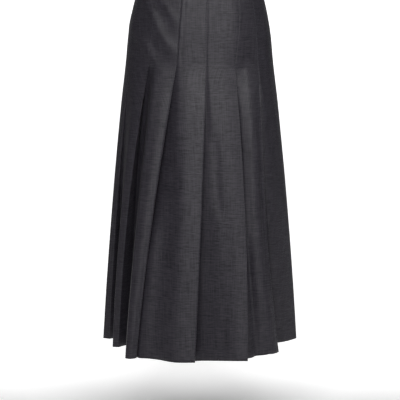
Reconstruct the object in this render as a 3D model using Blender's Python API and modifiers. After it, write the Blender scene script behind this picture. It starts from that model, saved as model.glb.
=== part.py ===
"""Pleated midi skirt: knife pleats stitched down to the hip, released to a flared hem.

Metres, +Z up. The origin is the centre of the waist, the front faces -Y and the hem is
below. Every horizontal section of the skirt is a closed ring of folds round an ellipse.
A place on a section is given by `turn`, the ellipse's angle in degrees (0 in front, 90 at
+X, 180 at the centre back), and `out`, the distance from the ellipse along its normal.
"""
from collections import namedtuple
from math import cos, degrees, hypot, pi, radians, sin

import bmesh
import bpy

# ---- driving dimensions ---------------------------------------------------------------
WALL = 0.0013            # cloth wall
SEAM_GAP = 0.0003        # clearance between neighbouring pieces
LAYER = 0.0024           # spacing of the cloth layers in a closed pleat
FOLD_NOSE = 0.0008       # how far a fold's rounded tip stands past its two layers
RIDGE_LEAD = 0.0030      # a closed panel keeps this clear of the folds above and below it

BAND_HEIGHT = 0.038
BAND_WALL = 0.0024
RELEASE = -0.215         # where the stitching of the pleats ends
HEM = -0.890
UNDERLAY = 0.030         # depth of the closed pleats at the release
UNDERLAY_WAIST = 0.020   # and at the waist, where they taper
OPENING_POWER = 1.25     # how late the released pleats open on the way down
RIDGE_POWER = 2.5        # how late their panels' ridges close in on the fold edges
BEFORE_SHARE = 0.86      # a panel's soft bend begins here, as a share of start to ridge
AFTER_SHARE = 0.22       # and ends here, as a share of ridge to fold edge
RUN_SHARE = 0.60         # last station of the panel's flat face, of ridge to fold edge
RIM_CLEARANCE = 0.0007   # the leaning rims of band and panels need more than the seam gap

TAPE_WIDTH = 0.024
TAPE_WALL = 0.0010

SLIDER_WIDTH = 0.0062
SLIDER_HEIGHT = 0.0090
SLIDER_DEPTH = 0.0018
SLIDER_BEVEL = 0.0005
SLIDER_TOP = -0.0050
SLIDER_STANDOFF = WALL   # the band leans out below the slider, so its plate stands off
LUG_WIDTH = 0.0011
LUG_HEIGHT = 0.0028
LUG_GAP = 0.0034         # between the two lugs that hold the tab's pin
LUG_RIM = 0.0006         # how far the lugs reach past the pin
PIN_RADIUS = 0.0006
PIN_STANDOFF = 0.0021    # pin axis to the face of the slider
PIN_RISE = 0.0010        # pin axis above the slider's middle
PULL_NECK_DROP = 0.0010  # where the tab's plate begins, below the pin
PULL_STEPS = 5           # outline steps down each shoulder of the tab
PULL_EYE_RADIUS = 0.0016
PULL_BORE_RADIUS = 0.0009
PULL_EYE_WIDTH = 0.0026
PULL_LENGTH = 0.0220
PULL_WIDTH = 0.0064
PULL_WALL = 0.0013

# Ellipse of each section: height, half width, half depth in front and behind.
Section = namedtuple("Section", "height half_width front_depth back_depth")
SECTIONS = (
    Section(0.000, 0.1270, 0.0930, 0.0950),
    Section(-0.070, 0.1510, 0.1020, 0.1080),
    Section(-0.140, 0.1655, 0.1080, 0.1170),
    Section(-0.215, 0.1735, 0.1130, 0.1220),
    Section(-0.350, 0.1890, 0.1330, 0.1360),
    Section(-0.450, 0.1995, 0.1470, 0.1470),
    Section(-0.560, 0.2100, 0.1620, 0.1590),
    Section(-0.650, 0.2180, 0.1740, 0.1690),
    Section(-0.780, 0.2285, 0.1910, 0.1820),
    Section(-0.890, 0.2365, 0.2050, 0.1920),
)

# One row a pleat, in order round the skirt; every fold edge points to greater turns.
# waist, hip, hem: turn of the fold edge in degrees at the waist, at the release and at the
# hem. bow: how far the edge leaves the straight line between hip and hem, in degrees.
# The rest holds at the hem, in metres: edge_out, how far the edge stands out; under, how
# far the inner fold lies behind the edge (negative: ahead of it), and sink, how deep it
# lies; ridge, how far behind the edge its panel bends, and ridge_out.
Pleat = namedtuple("Pleat", "name waist hip hem bow edge_out under sink ridge ridge_out")
PLEATS = (
    Pleat("left_back", 253.0, 251.5, 244.0, 0.0, 0.008, 0.026, 0.036, 0.034, 0.006),
    Pleat("left_side", 291.0, 289.0, 271.6, 0.0, -0.017, 0.032, 0.056, 0.017, 0.000),
    Pleat("left_front", 321.0, 317.6, 296.6, -3.0, -0.021, 0.013, 0.067, 0.0100, -0.010),
    Pleat("front_left", 344.5, 342.2, 323.8, -3.0, 0.0145, 0.024, 0.012, 0.0175, 0.022),
    Pleat("front_centre", 366.4, 364.6, 358.4, 0.2, 0.010, 0.0276, 0.028, 0.031, 0.0035),
    Pleat("front_right", 400.0, 387.6, 385.9, 1.6, 0.019, 0.014, 0.032, 0.021, 0.012),
    Pleat("right_front", 414.0, 410.5, 414.0, -8.5, -0.007, -0.085, 0.070, 0.038, 0.003),
    Pleat("right_side", 449.0, 446.0, 456.0, 0.0, -0.003, 0.022, 0.040, 0.020, 0.000),
    Pleat("right_back", 480.0, 481.0, 482.0, 0.0, 0.007, 0.026, 0.038, 0.032, 0.006),
    Pleat("back_right", 502.0, 505.0, 504.5, 0.0, 0.010, 0.028, 0.034, 0.036, 0.007),
    Pleat("back_centre_right", 526.5, 529.5, 528.0, 0.0, 0.009, 0.025, 0.037, 0.030, 0.008),
    Pleat("back_centre_left", 560.0, 559.0, 553.5, 0.0, 0.011, 0.027, 0.033, 0.034, 0.006),
    Pleat("back_left", 587.0, 584.0, 578.0, 0.0, 0.009, 0.026, 0.038, 0.036, 0.007),
)
SEAMED_PLEAT = "back_centre_left"    # its panel holds the centre back seam and the zip
CENTRE_BACK = 540.0                  # turn of that seam in this list's count
SEAMED_FOLDS = ("left_side", "right_side")   # the side seams lie in their inner folds

# Each panel of cloth runs from one station of the ring to another.
Panel = namedtuple("Panel", "node first_pleat first_station last_pleat last_station")
PANELS = (
    Panel("skirt_front", "left_side", "inner", "right_side", "inner"),
    Panel("skirt_back_right", "right_side", "inner", "back_centre_left", "before"),
    Panel("skirt_back_left", "back_centre_left", "before", "left_side", "inner"),
)

YOKE_TOP = -BAND_HEIGHT - SEAM_GAP - RIM_CLEARANCE
YOKE_HEIGHTS = (YOKE_TOP, -0.070, -0.105, -0.140, -0.180, RELEASE)
SKIRT_HEIGHTS = (-0.245, -0.295, -0.350, -0.450, -0.560, -0.650, -0.715, -0.780, HEM)
TAPE_HEIGHTS = (-0.002, -0.036, -0.070, -0.105, -0.140, -0.171, -0.202)
BAND_STEPS = 72

CLOTH_COLOUR = (0.052, 0.050, 0.058, 1.0)
METAL_COLOUR = (0.030, 0.030, 0.034, 1.0)


# ---- the ring of folds ----------------------------------------------------------------
def mix(start, end, share):
    """Value or tuple between start and end."""
    if isinstance(start, tuple):
        return tuple(mix(a, b, share) for a, b in zip(start, end))
    return start + (end - start) * share


def ellipse_at(height):
    """Half width, front depth and back depth of the section at a height."""
    for upper, lower in zip(SECTIONS, SECTIONS[1:]):
        if height >= lower.height:
            break
    share = (upper.height - height) / (upper.height - lower.height)
    return mix(tuple(upper[1:]), tuple(lower[1:]), share)


def place(ellipse, turn, out):
    """Plan position of a turn and an offset along the ellipse's normal."""
    half_width, front_depth, back_depth = ellipse
    angle = radians(turn)
    depth = front_depth if cos(angle) > 0 else back_depth
    across, along = sin(angle), -cos(angle)
    normal = (across * depth, along * half_width)
    size = hypot(*normal)
    return (half_width * across + out * normal[0] / size,
            depth * along + out * normal[1] / size)


def degrees_for(ellipse, turn, length):
    """How many degrees of turn a length along the ellipse takes near a turn."""
    half_width, front_depth, back_depth = ellipse
    angle = radians(turn)
    depth = front_depth if cos(angle) > 0 else back_depth
    return degrees(length / hypot(half_width * cos(angle), depth * sin(angle)))


def fold(pleat, height, ellipse):
    """Edge, inner fold and ridge of a pleat, each as (turn, out), and how open it is."""
    if height >= RELEASE:
        share = height / RELEASE
        edge_turn = mix(pleat.waist, pleat.hip, share)
        closed_under = mix(UNDERLAY_WAIST, UNDERLAY, share)
        opening = ridge_share = 0.0
    else:
        share = (RELEASE - height) / (RELEASE - HEM)
        edge_turn = mix(pleat.hip, pleat.hem, share) + pleat.bow * 4 * share * (1 - share)
        closed_under = UNDERLAY
        opening = share ** OPENING_POWER
        ridge_share = share ** RIDGE_POWER
    edge = (edge_turn, mix(LAYER / 2, pleat.edge_out, opening))
    under = mix(closed_under, pleat.under, opening)
    inner = (edge_turn - degrees_for(ellipse, edge_turn, under),
             mix(-LAYER / 2, -pleat.sink, opening))
    back = mix(closed_under + RIDGE_LEAD, pleat.ridge, ridge_share)
    ridge = (edge_turn - degrees_for(ellipse, edge_turn, back),
             mix(LAYER, pleat.ridge_out, opening))
    return edge, inner, ridge, opening


def zip_panel(ellipse, rise, ridge, top, opening):
    """Stations of the panel with the centre back seam, level where the zip's tape lies."""
    level = degrees_for(ellipse, CENTRE_BACK, TAPE_WIDTH / 2 + SEAM_GAP)
    seam_share = (CENTRE_BACK - rise[0]) / (ridge[0] - rise[0])
    closed = (rise, (CENTRE_BACK - level, 0.0), (CENTRE_BACK, 0.0),
              (CENTRE_BACK + level, 0.0), ridge, mix(ridge, top, RUN_SHARE))
    opened = (rise, mix(rise, ridge, seam_share / 2), mix(rise, ridge, seam_share), ridge,
              mix(ridge, top, AFTER_SHARE), mix(ridge, top, RUN_SHARE))
    return mix(closed, opened, opening)


def turn_over(vertex, leg_in, leg_out, nose_length):
    """Three plan points round a fold: end of one leg, the fold's nose, start of the other.

    The legs lie a LAYER apart, either side of the line that halves their angle.
    """
    first = toward((0.0, 0.0), (leg_in[0] - vertex[0], leg_in[1] - vertex[1]), 1.0)
    second = toward((0.0, 0.0), (leg_out[0] - vertex[0], leg_out[1] - vertex[1]), 1.0)
    middle = (first[0] + second[0], first[1] + second[1])
    inward = toward((0.0, 0.0), middle, 1.0)
    side = (-inward[1], inward[0])
    if side[0] * (first[0] - second[0]) + side[1] * (first[1] - second[1]) < 0.0:
        side = (-side[0], -side[1])
    half = LAYER / 2
    return ((vertex[0] + side[0] * half, vertex[1] + side[1] * half),
            (vertex[0] - inward[0] * nose_length, vertex[1] - inward[1] * nose_length),
            (vertex[0] - side[0] * half, vertex[1] - side[1] * half))


def ring(height):
    """The whole section as (pleat name, station, plan point), in order round the skirt."""
    ellipse = ellipse_at(height)
    folds = [fold(pleat, height, ellipse) for pleat in PLEATS]
    half = LAYER / 2
    spots = []
    for index in range(len(PLEATS)):
        edge, inner, ridge, opening = folds[index]
        last_edge, last_inner, _, _ = folds[index - 1]
        if index == 0:
            last_edge = (last_edge[0] - 360.0, last_edge[1])
            last_inner = (last_inner[0] - 360.0, last_inner[1])
        start = (last_inner[0], last_inner[1] - half)
        top = (edge[0], edge[1] + half)
        clear_of_fold = last_edge[0] + degrees_for(ellipse, last_edge[0], RIDGE_LEAD)
        rise = mix((clear_of_fold, last_edge[1] - 1.5 * LAYER), mix(start, ridge, 0.5), opening)
        lie = mix((edge[0], edge[1] - half), (inner[0], inner[1] + half), 0.5)
        if PLEATS[index].name == SEAMED_PLEAT:
            panel = zip_panel(ellipse, rise, ridge, top, opening)
        else:
            panel = (rise, mix(rise, ridge, 0.5), mix(rise, ridge, BEFORE_SHARE), ridge,
                     mix(ridge, top, AFTER_SHARE), mix(ridge, top, RUN_SHARE))
        turns = (*panel, edge, lie, inner)
        spots.append([place(ellipse, *turn) for turn in turns])
    stations = []
    for index, pleat in enumerate(PLEATS):
        rise, middle, before, ridge, after, run, edge, lie, inner = spots[index]
        next_rise = spots[(index + 1) % len(PLEATS)][0]
        seamed = pleat.name in SEAMED_FOLDS
        top, nose, below = turn_over(edge, run, lie, FOLD_NOSE)
        inner_top, inner_nose, start = turn_over(inner, lie, next_rise,
                                                 0.0 if seamed else FOLD_NOSE)
        named = (("rise", rise), ("middle", middle), ("before", before), ("ridge", ridge),
                 ("after", after), ("run", run), ("top", top), ("nose", nose),
                 ("below", below), ("lie", lie), ("inner_top", inner_top),
                 ("inner", inner_nose), ("start", start))
        stations += [(pleat.name, station, point) for station, point in named]
    return stations


def strip(panel, height):
    """Plan points of one panel's wall at a height, pulled back at its two seams."""
    stations = ring(height)
    names = [(name, station) for name, station, _ in stations]
    first = names.index((panel.first_pleat, panel.first_station))
    last = names.index((panel.last_pleat, panel.last_station))
    if last <= first:
        stations = stations + stations
        last += len(names)
    points = [point for _, _, point in stations[first:last + 1]]
    points[0] = toward(points[0], points[1], SEAM_GAP / 2)
    points[-1] = toward(points[-1], points[-2], SEAM_GAP / 2)
    return [(x, y, height) for x, y in points]


def toward(point, goal, distance):
    """A plan point moved a distance toward another."""
    length = hypot(goal[0] - point[0], goal[1] - point[1])
    return mix(point, goal, distance / length)


# ---- Blender helpers ------------------------------------------------------------------
def clear_scene():
    """Start from an empty scene."""
    for item in list(bpy.data.objects):
        bpy.data.objects.remove(item, do_unlink=True)


def make_collection(name):
    """A collection linked to the scene."""
    collection = bpy.data.collections.new(name)
    bpy.context.scene.collection.children.link(collection)
    return collection


def make_material(name, colour, roughness, metallic=0.0):
    """A plain Principled material."""
    material = bpy.data.materials.new(name)
    material.use_nodes = True
    shader = material.node_tree.nodes["Principled BSDF"]
    shader.inputs["Base Color"].default_value = colour
    shader.inputs["Roughness"].default_value = roughness
    shader.inputs["Metallic"].default_value = metallic
    material.diffuse_color = colour
    return material


def add_object(name, mesh, material, collection, parent=None):
    """An object for a mesh, in a collection and under a parent."""
    item = bpy.data.objects.new(name, mesh)
    collection.objects.link(item)
    item.parent = parent
    if material is not None:
        mesh.materials.append(material)
    return item


def cloth_wall(name, rows, thickness, material, collection, parent):
    """A wall of cloth: the loft through rows of points, thickened with Solidify."""
    width = len(rows[0])
    points = [point for row in rows for point in row]
    faces = []
    for level in range(len(rows) - 1):
        for step in range(width - 1):
            corner = level * width + step
            below = corner + width
            faces.append((corner, below, corner + 1))
            faces.append((corner + 1, below, below + 1))
    mesh = bpy.data.meshes.new(name)
    mesh.from_pydata(points, [], faces)
    mesh.shade_smooth()
    item = add_object(name, mesh, material, collection, parent)
    solidify = item.modifiers.new("cloth_wall", "SOLIDIFY")
    solidify.thickness = thickness
    solidify.offset = 0.0
    solidify.use_quality_normals = True
    return item


# ---- cloth pieces ---------------------------------------------------------------------
def make_panels(material, collection, parent):
    """Front and the two halves of the back."""
    heights = YOKE_HEIGHTS + SKIRT_HEIGHTS
    for panel in PANELS:
        rows = [strip(panel, height) for height in heights]
        cloth_wall(panel.node, rows, WALL, material, collection, parent)


def band_centre():
    """Offset of the waistband's middle, its inner face level with the panels'."""
    return (BAND_WALL - WALL) / 2


def make_waistband(material, collection, parent):
    """The waistband: a ring open only at the centre back, where the zip parts it."""
    rows = []
    for height in (0.0, -BAND_HEIGHT / 2, -BAND_HEIGHT):
        ellipse = ellipse_at(height)
        gap = degrees_for(ellipse, 180.0, SEAM_GAP / 2)
        turns = [mix(-180.0 + gap, 180.0 - gap, step / BAND_STEPS)
                 for step in range(BAND_STEPS + 1)]
        rows.append([(*place(ellipse, turn, band_centre()), height) for turn in turns])
    cloth_wall("waistband", rows, BAND_WALL, material, collection, parent)


def make_zip_tape(material, collection, parent):
    """The zip's tape, inside the centre back seam."""
    out = -(WALL / 2 + SEAM_GAP + TAPE_WALL / 2)
    rows = []
    for height in TAPE_HEIGHTS:
        ellipse = ellipse_at(height)
        half_turn = degrees_for(ellipse, 180.0, TAPE_WIDTH / 2)
        turns = [180.0 + half_turn * share for share in (-1.0, -0.5, 0.0, 0.5, 1.0)]
        rows.append([(*place(ellipse, turn, out), height) for turn in turns])
    cloth_wall("zip_tape", rows, TAPE_WALL, material, collection, parent)


# ---- zip slider and its tab -------------------------------------------------------------
def box_mesh(name, size, centre):
    """A box of a size about a centre, as a mesh with its scale applied."""
    bpy.ops.mesh.primitive_cube_add(size=1.0, location=centre)
    cube = bpy.context.active_object
    cube.scale = size
    bpy.ops.object.transform_apply(location=True, rotation=False, scale=True)
    return take_mesh(cube, name)


def rod_mesh(name, radius, length, centre, sides=24):
    """A cylinder along X about a centre."""
    bpy.ops.mesh.primitive_cylinder_add(vertices=sides, radius=radius, depth=length,
                                        location=centre, rotation=(0.0, pi / 2, 0.0))
    rod = bpy.context.active_object
    bpy.ops.object.transform_apply(location=True, rotation=True, scale=True)
    return take_mesh(rod, name)


def take_mesh(item, name):
    """The mesh of a temporary object, which is removed."""
    mesh = item.data
    mesh.name = name
    bpy.data.objects.remove(item, do_unlink=True)
    return mesh


def add_boolean(item, other, operation):
    """Join to, or cut from, an object with a second one."""
    modifier = item.modifiers.new(other.name, "BOOLEAN")
    modifier.operation = operation
    modifier.object = other


def make_guide(name, mesh, cutters):
    """A hidden object that only a Boolean uses."""
    guide = add_object(name, mesh, None, cutters)
    guide.hide_render = True
    guide.display_type = "WIRE"
    return guide


def slider_face():
    """Y of the waistband's outer face at the slider, and height of the slider's middle."""
    middle = SLIDER_TOP - SLIDER_HEIGHT / 2
    ellipse = ellipse_at(middle)
    return ellipse[2] + band_centre() + BAND_WALL / 2, middle


def make_slider(material, collection, cutters, parent, pin_place):
    """The slider: a rounded plate, two lugs and the pin between them."""
    face, middle = slider_face()
    core = face + SEAM_GAP + SLIDER_STANDOFF + SLIDER_DEPTH / 2
    plate = box_mesh("zip_slider", (SLIDER_WIDTH, SLIDER_DEPTH, SLIDER_HEIGHT),
                     (0.0, core, middle))
    slider = add_object("zip_slider", plate, material, collection, parent)
    bevel = slider.modifiers.new("rounded", "BEVEL")
    bevel.width = SLIDER_BEVEL
    bevel.segments = 2
    pin_y, pin_z = pin_place
    reach = pin_y + PIN_RADIUS + LUG_RIM - core
    for side, name in ((-1, "lug_left"), (1, "lug_right")):
        centre = (side * (LUG_GAP + LUG_WIDTH) / 2, core + reach / 2, pin_z)
        lug = box_mesh(name, (LUG_WIDTH, reach, LUG_HEIGHT), centre)
        add_boolean(slider, make_guide(name, lug, cutters), "UNION")
    pin = rod_mesh("pin", PIN_RADIUS, LUG_GAP + LUG_WIDTH, (0.0, pin_y, pin_z), 16)
    add_boolean(slider, make_guide("pin", pin, cutters), "UNION")


def pull_outline():
    """Half outline of the tab's drop-shaped plate, as (half width, distance below the pin)."""
    neck = PULL_EYE_WIDTH / 2
    belly = PULL_WIDTH / 2
    centre = PULL_LENGTH - belly
    outline = []
    for step in range(PULL_STEPS + 1):
        share = step / PULL_STEPS
        outline.append((mix(neck, belly, sin(pi / 2 * share) ** 2),
                        mix(PULL_NECK_DROP, centre, share)))
    for step in range(1, PULL_STEPS + 1):
        angle = pi / 2 * step / (PULL_STEPS + 1)
        outline.append((belly * cos(angle), centre + belly * sin(angle)))
    return outline


def make_pull(material, collection, cutters, hinge):
    """The tab: a flat drop hanging from an eye round the slider's pin."""
    half = pull_outline()
    right = [(x, -down) for x, down in half]
    left = [(-x, -down) for x, down in reversed(half)]
    outline = right + [(0.0, -PULL_LENGTH)] + left
    curve = bpy.data.curves.new("pull_plate", "CURVE")
    curve.dimensions = "2D"
    curve.fill_mode = "BOTH"
    curve.extrude = PULL_WALL / 2
    spline = curve.splines.new("POLY")
    spline.points.add(len(outline) - 1)
    for point, (x, z) in zip(spline.points, outline):
        point.co = (x, z, 0.0, 1.0)
    spline.use_cyclic_u = True
    plate_curve = bpy.data.objects.new("pull_plate", curve)
    collection.objects.link(plate_curve)
    plate_curve.rotation_euler = (pi / 2, 0.0, 0.0)
    bpy.context.view_layer.update()
    evaluated = plate_curve.evaluated_get(bpy.context.evaluated_depsgraph_get())
    plate = bpy.data.meshes.new_from_object(evaluated)
    plate.transform(plate_curve.matrix_world)
    bpy.data.objects.remove(plate_curve, do_unlink=True)
    weld(plate)
    pull = add_object("zip_pull", plate, material, collection, hinge)
    eye = rod_mesh("pull_eye", PULL_EYE_RADIUS, PULL_EYE_WIDTH, (0.0, 0.0, 0.0))
    bore = rod_mesh("pull_bore", PULL_BORE_RADIUS, 2 * PULL_EYE_WIDTH, (0.0, 0.0, 0.0), 16)
    for name, mesh, operation in (("pull_eye", eye, "UNION"), ("pull_bore", bore, "DIFFERENCE")):
        guide = make_guide(name, mesh, cutters)
        guide.parent = hinge
        add_boolean(pull, guide, operation)


def weld(mesh):
    """Join a curve mesh's loose caps to its sides."""
    shape = bmesh.new()
    shape.from_mesh(mesh)
    bmesh.ops.remove_doubles(shape, verts=shape.verts, dist=0.00001)
    bmesh.ops.recalc_face_normals(shape, faces=shape.faces)
    shape.to_mesh(mesh)
    shape.free()


def make_zip_metal(material, collection, cutters, parent):
    """Slider and tab, with the tab's hinge empty on the pin's axis."""
    face, middle = slider_face()
    pin_y = face + SEAM_GAP + SLIDER_STANDOFF + SLIDER_DEPTH + PIN_STANDOFF
    pin_z = middle + PIN_RISE
    hinge = bpy.data.objects.new("zip_pull_hinge", None)
    collection.objects.link(hinge)
    hinge.parent = parent
    hinge.location = (0.0, pin_y, pin_z)
    make_slider(material, collection, cutters, parent, (pin_y, pin_z))
    make_pull(material, collection, cutters, hinge)


def main():
    """Build the skirt."""
    clear_scene()
    collection = make_collection("pleated_midi_skirt")
    cutters = make_collection("cutters")
    waist = bpy.data.objects.new("waist", None)
    collection.objects.link(waist)
    cloth = make_material("wool", CLOTH_COLOUR, 0.85)
    tape = make_material("tape", CLOTH_COLOUR, 0.75)
    metal = make_material("painted_metal", METAL_COLOUR, 0.40, 0.6)
    make_panels(cloth, collection, waist)
    make_waistband(cloth, collection, waist)
    make_zip_tape(tape, collection, waist)
    make_zip_metal(metal, collection, cutters, waist)


main()
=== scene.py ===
"""Looks of the pleated midi skirt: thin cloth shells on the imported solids, zip, light, camera."""
from collections import namedtuple
from math import cos, degrees, exp, hypot, pi, radians, sin

import bpy
import numpy as np
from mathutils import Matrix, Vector


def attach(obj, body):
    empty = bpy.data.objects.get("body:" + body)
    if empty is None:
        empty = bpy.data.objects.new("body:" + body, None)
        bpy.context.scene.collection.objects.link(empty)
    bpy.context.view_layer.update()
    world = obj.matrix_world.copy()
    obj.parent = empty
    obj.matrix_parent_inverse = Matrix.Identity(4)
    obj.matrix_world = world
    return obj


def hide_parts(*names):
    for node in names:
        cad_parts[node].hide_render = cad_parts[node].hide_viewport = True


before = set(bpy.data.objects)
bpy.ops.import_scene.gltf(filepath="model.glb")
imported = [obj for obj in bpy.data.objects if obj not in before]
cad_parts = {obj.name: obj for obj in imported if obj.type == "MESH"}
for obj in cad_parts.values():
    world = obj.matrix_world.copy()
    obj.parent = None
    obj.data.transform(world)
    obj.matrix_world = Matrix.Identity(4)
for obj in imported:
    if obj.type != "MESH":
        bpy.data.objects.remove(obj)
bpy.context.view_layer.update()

# ---- cut of the skirt: metres, z down from the waist --------------------------------------
WALL = 0.0008            # cloth wall of the shells
SOLID_WALL = 0.0013      # and of the solids that they stand for
LAYER = 0.0020           # spacing of the cloth layers in a pleat
LAYER_STITCHED = 0.0009  # and where it is stitched down and pressed
SEAM_GAP = 0.0003
RELEASE = -0.215         # where the stitching of the pleats ends
HEM = -0.8925
UNDERLAY = 0.030         # depth of the closed pleats at the release
UNDERLAY_WAIST = 0.020   # and at the waist, where they taper
SOFT_START = 0.05        # how slowly the pleats begin to open below the release
SWELL_AT = 0.28          # share of the way down where dip and arch are largest
HEM_LEAN = 0.287         # slope at which the camera looks down at the hem
HEM_LEAN_FROM = 0.60     # depth below the waist where the cloth begins to hang lower

# A closed panel where the seam beside it is a groove, and where it is pressed flat: how far
# past the last fold's edge it comes up, and how many layers lower than that edge.
LEAD_GROOVE, LEAD_FLAT = 0.0030, 0.0007
SUNK_GROOVE, SUNK_FLAT = 1.5, -0.45
TUCK_BACK = 0.0010       # how far behind the last edge it lies before that
FLUTE_BACK = 0.0020      # how far behind the last edge a round flute starts
FLUTE_SAG = 0.60, 0.84   # depths below the waist between which a flute sags

BAND_HEIGHT = 0.038
BAND_WALL = 0.0024
BAND_CLOTH = 0.0005      # wall of the band's own shell
BAND_INSET = 0.0003      # its shell inside the solid's faces
BAND_RIPPLE = 0.0003
BAND_STEPS = 180
PANEL_GAP = 0.0007       # from the band's lower edge to the panels' cloth
TAPE_WIDTH = 0.024
TAPE_WALL = 0.0010
TAPE_TOP = -0.002
TAPE_LENGTH = 0.200
STITCH = 0.0026

Section = namedtuple("Section", "height half_width front_depth back_depth")
SECTIONS = (
    Section(0.000, 0.1270, 0.0930, 0.0950),
    Section(-0.070, 0.1510, 0.1020, 0.1080),
    Section(-0.140, 0.1655, 0.1080, 0.1170),
    Section(-0.215, 0.1735, 0.1130, 0.1220),
    Section(-0.350, 0.1890, 0.1330, 0.1360),
    Section(-0.450, 0.1995, 0.1470, 0.1470),
    Section(-0.560, 0.2100, 0.1620, 0.1590),
    Section(-0.650, 0.2180, 0.1740, 0.1690),
    Section(-0.780, 0.2285, 0.1910, 0.1820),
    Section(-0.890, 0.2365, 0.2050, 0.1920),
)

# Turns are degrees round the ellipse: 0 in front, 90 at the viewer's right, 180 behind. They
# go on past 360, from pleat to pleat the same way round.
# waist, hip, hem: turn of the fold's edge at the waist, the release and the hem;
# bow: degrees by which the edge bows out of its line halfway down;
# edge_out, under, sink: at the hem, how far out the edge lies, how far the inner fold lies
#     behind it, and how deep;
# ridge_hip, ridge: how far behind the edge the panel bends at the release and at the hem;
# ridge_out: how far out that bend, its ridge, lies at the hem;
# opens, deepens, closes: powers of how late, on the way down, the edge moves out, the inner
#     fold sinks and the ridge moves;
# crisp: how sharp the ridge is, 0 to 1;
# seam: how far the stitched seam above the release shows as a groove, 0 to 1;
# hollow: how long the panel stays deep before it rises to its ridge, 0 to 1;
# dip, arch: how much deeper the inner fold, and how much further out the edge and the ridge,
#     lie at SWELL_AT; an arch makes the panel a round flute;
# curve: how far the cloth bows outward between ridge and edge;
# level: how far the deep parts hang lower at the hem, 1 for level in the camera's view.
Pleat = namedtuple("Pleat", "name waist hip hem bow edge_out under sink ridge_hip ridge ridge_out "
                            "opens deepens closes crisp seam hollow dip arch curve level")
PLEATS = (
    Pleat("left_back", 253.0, 251.5, 244.0, 0.0, 0.008, 0.026, 0.036, 0.033, 0.034, 0.009,
          1.00, 0.60, 1.0, 0.3, 0.4, 0.0, 0.000, 0.000, 0.0020, 0.0),
    Pleat("left_side", 291.0, 289.0, 271.6, 0.0, -0.017, 0.032, 0.056, 0.033, 0.007, -0.001,
          0.75, 0.70, 0.7, 0.8, 0.1, 0.3, 0.000, 0.000, 0.0010, 0.0),
    Pleat("left_front", 321.0, 317.6, 296.6, -5.0, -0.021, 0.013, 0.056, 0.033, 0.009, -0.009,
          0.60, 0.22, 0.6, 0.8, 0.05, 0.8, 0.000, 0.000, 0.0010, 0.0),
    Pleat("front_left", 344.5, 342.2, 323.8, -2.5, 0.0145, 0.024, -0.004, 0.052, 0.0186, 0.029,
          0.60, 0.20, 0.80, 0.8, 1.0, 0.8, 0.030, 0.000, 0.0070, 0.0),
    Pleat("front_centre", 366.4, 364.6, 357.4, 0.0, 0.010, 0.0276, 0.055, 0.050, 0.028, 0.015,
          0.65, 0.45, 0.36, 0.0, 1.0, 0.0, 0.000, 0.000, 0.0000, 0.0),
    Pleat("front_right", 400.0, 387.6, 385.9, 1.6, 0.019, 0.014, 0.026, 0.034, 0.018, 0.012,
          0.70, 0.22, 0.6, 0.0, 0.35, 0.30, 0.012, 0.000, 0.0000, 0.9),
    Pleat("right_front", 414.0, 410.5, 412.5, -6.0, -0.004, -0.085, 0.070, 0.030, 0.030, -0.006,
          0.60, 0.50, 0.3, 0.0, 0.05, 0.0, 0.000, 0.0115, 0.0000, 0.2),
    Pleat("right_side", 449.0, 446.0, 456.0, 0.0, -0.003, 0.022, 0.040, 0.033, 0.020, 0.000,
          0.90, 0.50, 1.0, 0.3, 0.2, 0.0, 0.000, 0.000, 0.0020, 0.0),
    Pleat("right_back", 480.0, 481.0, 482.0, 0.0, 0.007, 0.026, 0.038, 0.033, 0.032, 0.009,
          1.00, 0.60, 1.0, 0.4, 0.5, 0.0, 0.000, 0.000, 0.0020, 0.0),
    Pleat("back_right", 502.0, 505.0, 504.5, 0.0, 0.010, 0.028, 0.034, 0.033, 0.036, 0.012,
          0.90, 0.50, 1.0, 0.5, 0.8, 0.2, 0.000, 0.000, 0.0025, 0.0),
    Pleat("back_centre_right", 526.5, 529.5, 528.0, 0.0, 0.009, 0.025, 0.037, 0.033, 0.030,
          0.011, 0.90, 0.60, 1.0, 0.5, 1.0, 0.0, 0.010, 0.000, 0.0015, 0.0),
    Pleat("back_centre_left", 560.0, 559.0, 553.5, 0.0, 0.011, 0.027, 0.033, 0.033, 0.034,
          0.012, 1.00, 0.60, 1.0, 0.4, 1.0, 0.0, 0.000, 0.000, 0.0000, 0.0),
    Pleat("back_left", 587.0, 584.0, 578.0, 0.0, 0.009, 0.026, 0.038, 0.033, 0.036, 0.011,
          1.00, 0.50, 1.0, 0.5, 0.8, 0.2, 0.010, 0.000, 0.0025, 0.0),
)
NAMES = [pleat.name for pleat in PLEATS]
SEAMED_PLEAT = "back_centre_left"  # its panel has the centre back seam
ROUNDED_PLEAT = "front_centre"     # its panel is rounded up to the ridge
CENTRE_BACK = 540.0

# Controls of one pleat's section and how many steps lead from each to the next.
STEPS = (("start", 3), ("tuck", 2), ("rise", 5), ("middle", 5), ("before", 3), ("ridge", 3),
         ("after", 4), ("run", 5), ("top", 6), ("below", 4), ("lie", 4), ("inner_top", 4))
KEYS = [key for key, _ in STEPS]
COUNTS = [count for _, count in STEPS]
PLEAT_STEPS = sum(COUNTS)

Cloth = namedtuple("Cloth", "piece node first_pleat first_key last_pleat last_key flat area")
CLOTHS = (
    Cloth("front_cloth", "skirt_front", "left_front", "start", "right_back", "start",
          (0.95, 0.853), 0.730),
    Cloth("back_right_cloth", "skirt_back_right", "right_back", "start", "back_centre_left",
          "before", (0.56, 0.853), 0.416),
    Cloth("back_left_cloth", "skirt_back_left", "back_centre_left", "before", "left_front",
          "start", (0.60, 0.853), 0.454),
)


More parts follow.
